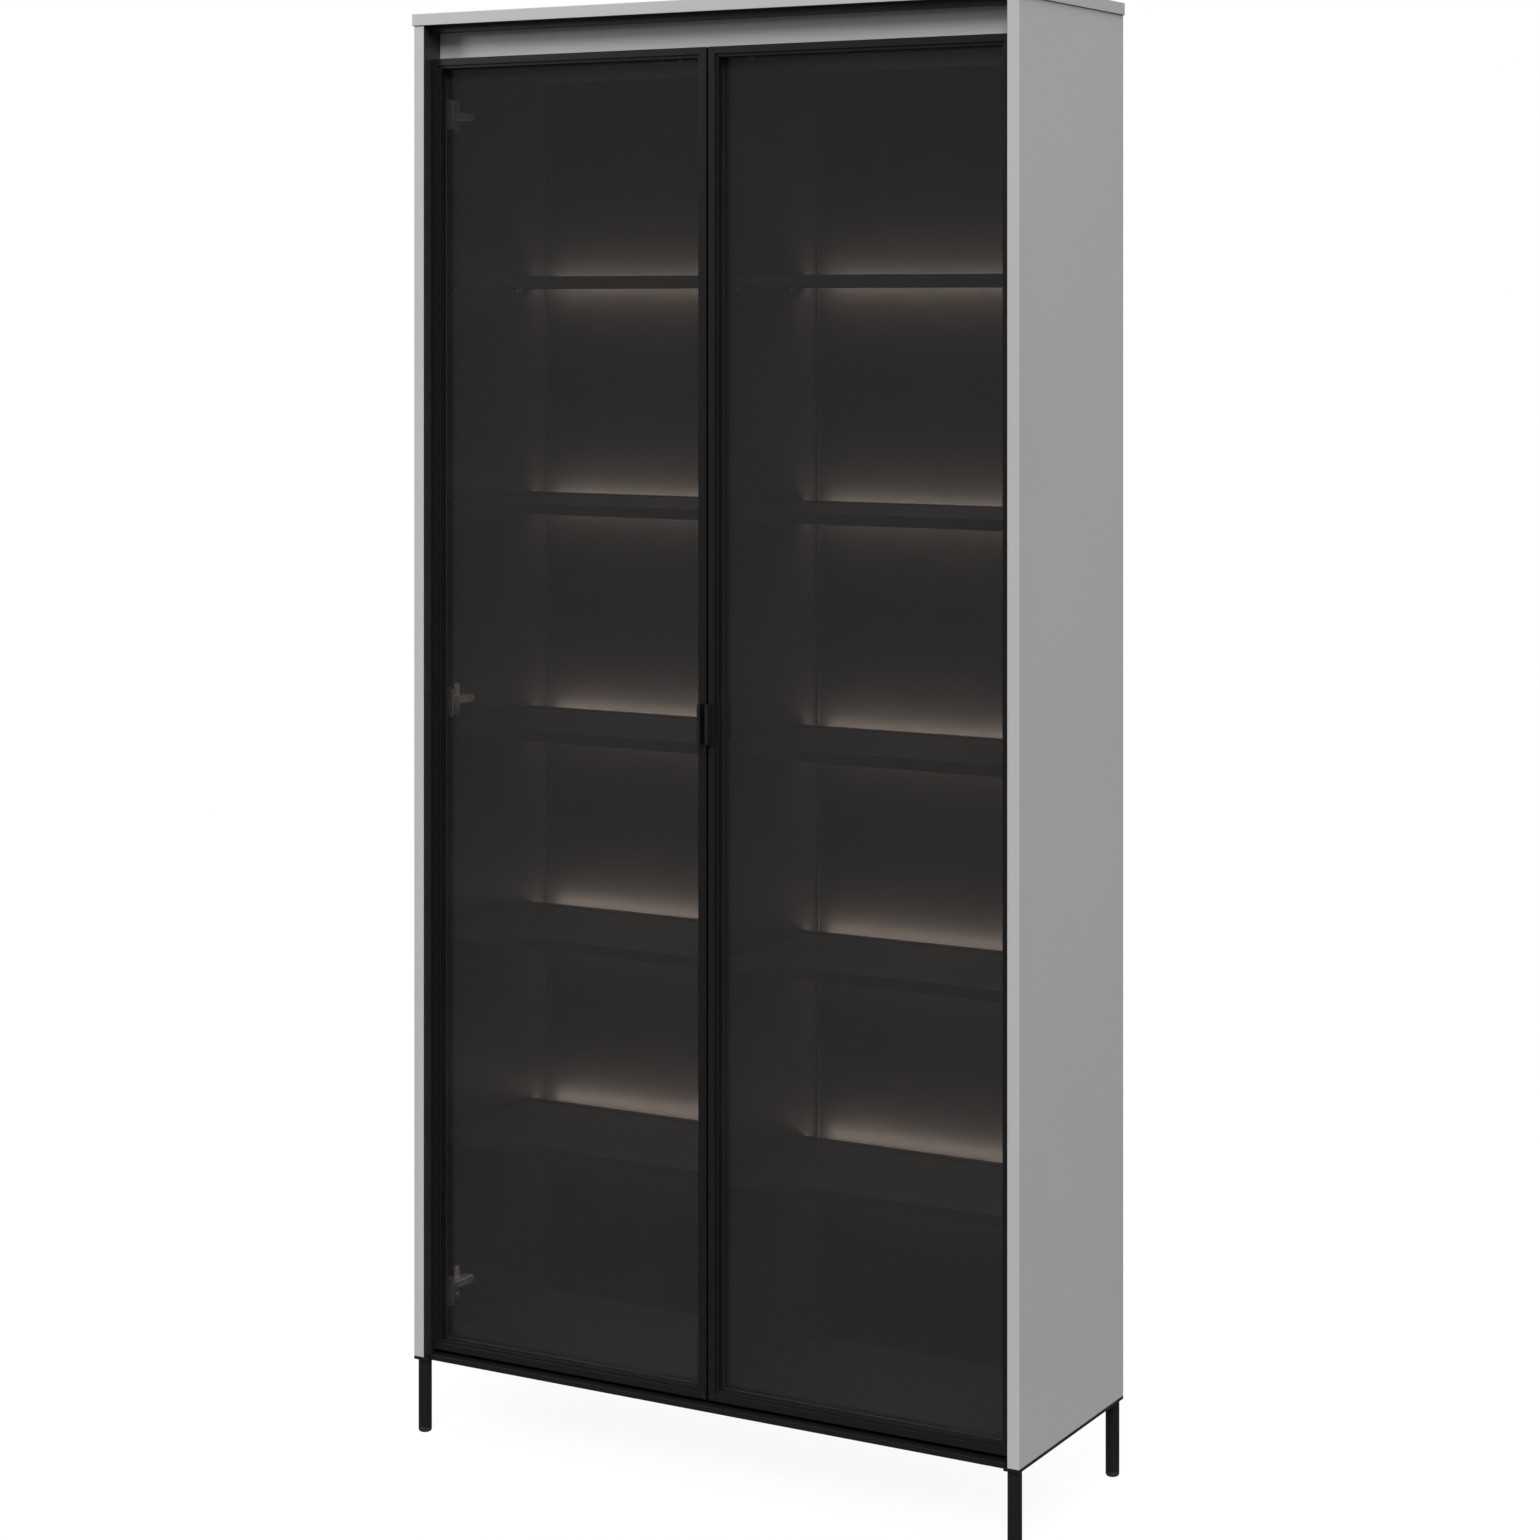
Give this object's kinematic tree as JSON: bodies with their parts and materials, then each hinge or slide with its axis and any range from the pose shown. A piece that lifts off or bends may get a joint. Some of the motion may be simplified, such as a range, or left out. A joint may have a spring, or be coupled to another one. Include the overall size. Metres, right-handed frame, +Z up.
{
  "type": "display cabinet",
  "caption": "Tall free-standing display cabinet with two hinged framed glass doors, lit shelves and four slim legs.",
  "frame": {"origin": "on the floor, at the centre of the cabinet's footprint", "axes": "+Z up, front and doors towards -Y, +X to the right of someone facing the doors"},
  "size_m": [1.005, 0.357, 2.128],
  "materials": {
    "grey_board": "matt light grey lacquered board",
    "black_board": "matt black laminated board",
    "black_steel": "fine-textured black powder coat",
    "door_frame": "satin black powder-coated profile",
    "pull_metal": "satin black",
    "smoked_glass": "smoked toughened glass",
    "gasket_rubber": "matt black",
    "nickel_plated": "nickel-plated steel",
    "black_channel": "black anodised",
    "diffuser": "opal diffuser, lit warm white",
    "driver_case": "matt white plastic",
    "wire_sleeve": "black cable sleeve",
    "black_plastic": "moulded black plastic",
    "clear_bumper": "soft translucent pad"
  },
  "bodies": {
    "root": {"top_panel": "grey_board", "left_side_panel": "grey_board", "right_side_panel": "grey_board", "carcase_top": "black_board", "bottom_panel": "black_board", "back_panel": "black_board", "centre_partition": "black_board", "top_fascia": "grey_board", "shadow_strip": "black_board", "wall_rail": "black_board", "shelf_left_1": "black_board", "shelf_left_2": "black_board", "shelf_left_3": "black_board", "shelf_left_4": "black_board", "shelf_left_5": "black_board", "shelf_right_1": "black_board", "shelf_right_2": "black_board", "shelf_right_3": "black_board", "shelf_right_4": "black_board", "shelf_right_5": "black_board", "shelf_pins": "nickel_plated", "light_channels": "black_channel", "light_diffusers": "diffuser", "light_driver": "driver_case", "light_wiring": "wire_sleeve", "cable_grommet": "black_plastic", "leg_front_left": "black_steel", "leg_front_right": "black_steel", "leg_rear_left": "black_steel", "leg_rear_right": "black_steel", "leg_glides": "black_plastic", "leg_studs": "nickel_plated", "base_bar_front": "black_steel", "base_bar_rear": "black_steel", "base_bar_left": "black_steel", "base_bar_right": "black_steel", "base_screws": "nickel_plated", "back_screws": "nickel_plated", "door_bumpers": "clear_bumper", "hinge_plates": "nickel_plated", "hinge_arms": "nickel_plated", "hinge_screws": "nickel_plated"},
    "left_door": {"left_door_outer_stile": "door_frame", "left_door_inner_stile": "door_frame", "left_door_top_rail": "door_frame", "left_door_bottom_rail": "door_frame", "left_door_glass": "smoked_glass", "left_door_gasket": "gasket_rubber", "left_door_pull": "pull_metal", "left_pull_screws": "nickel_plated", "left_hinge_cups": "nickel_plated"},
    "right_door": {"right_door_outer_stile": "door_frame", "right_door_inner_stile": "door_frame", "right_door_top_rail": "door_frame", "right_door_bottom_rail": "door_frame", "right_door_glass": "smoked_glass", "right_door_gasket": "gasket_rubber", "right_door_pull": "pull_metal", "right_pull_screws": "nickel_plated", "right_hinge_cups": "nickel_plated"}
  },
  "joints": [
    {"name": "left_door_hinge", "type": "hinge", "parent": "root", "child": "left_door", "pos_m": [-0.48025, -0.1585, 1], "axis": [0, 0, -1], "range_deg": [0, 90]},
    {"name": "right_door_hinge", "type": "hinge", "parent": "root", "child": "right_door", "pos_m": [0.48025, -0.1585, 1], "axis": [0, 0, 1], "range_deg": [0, 90]}
  ]
}
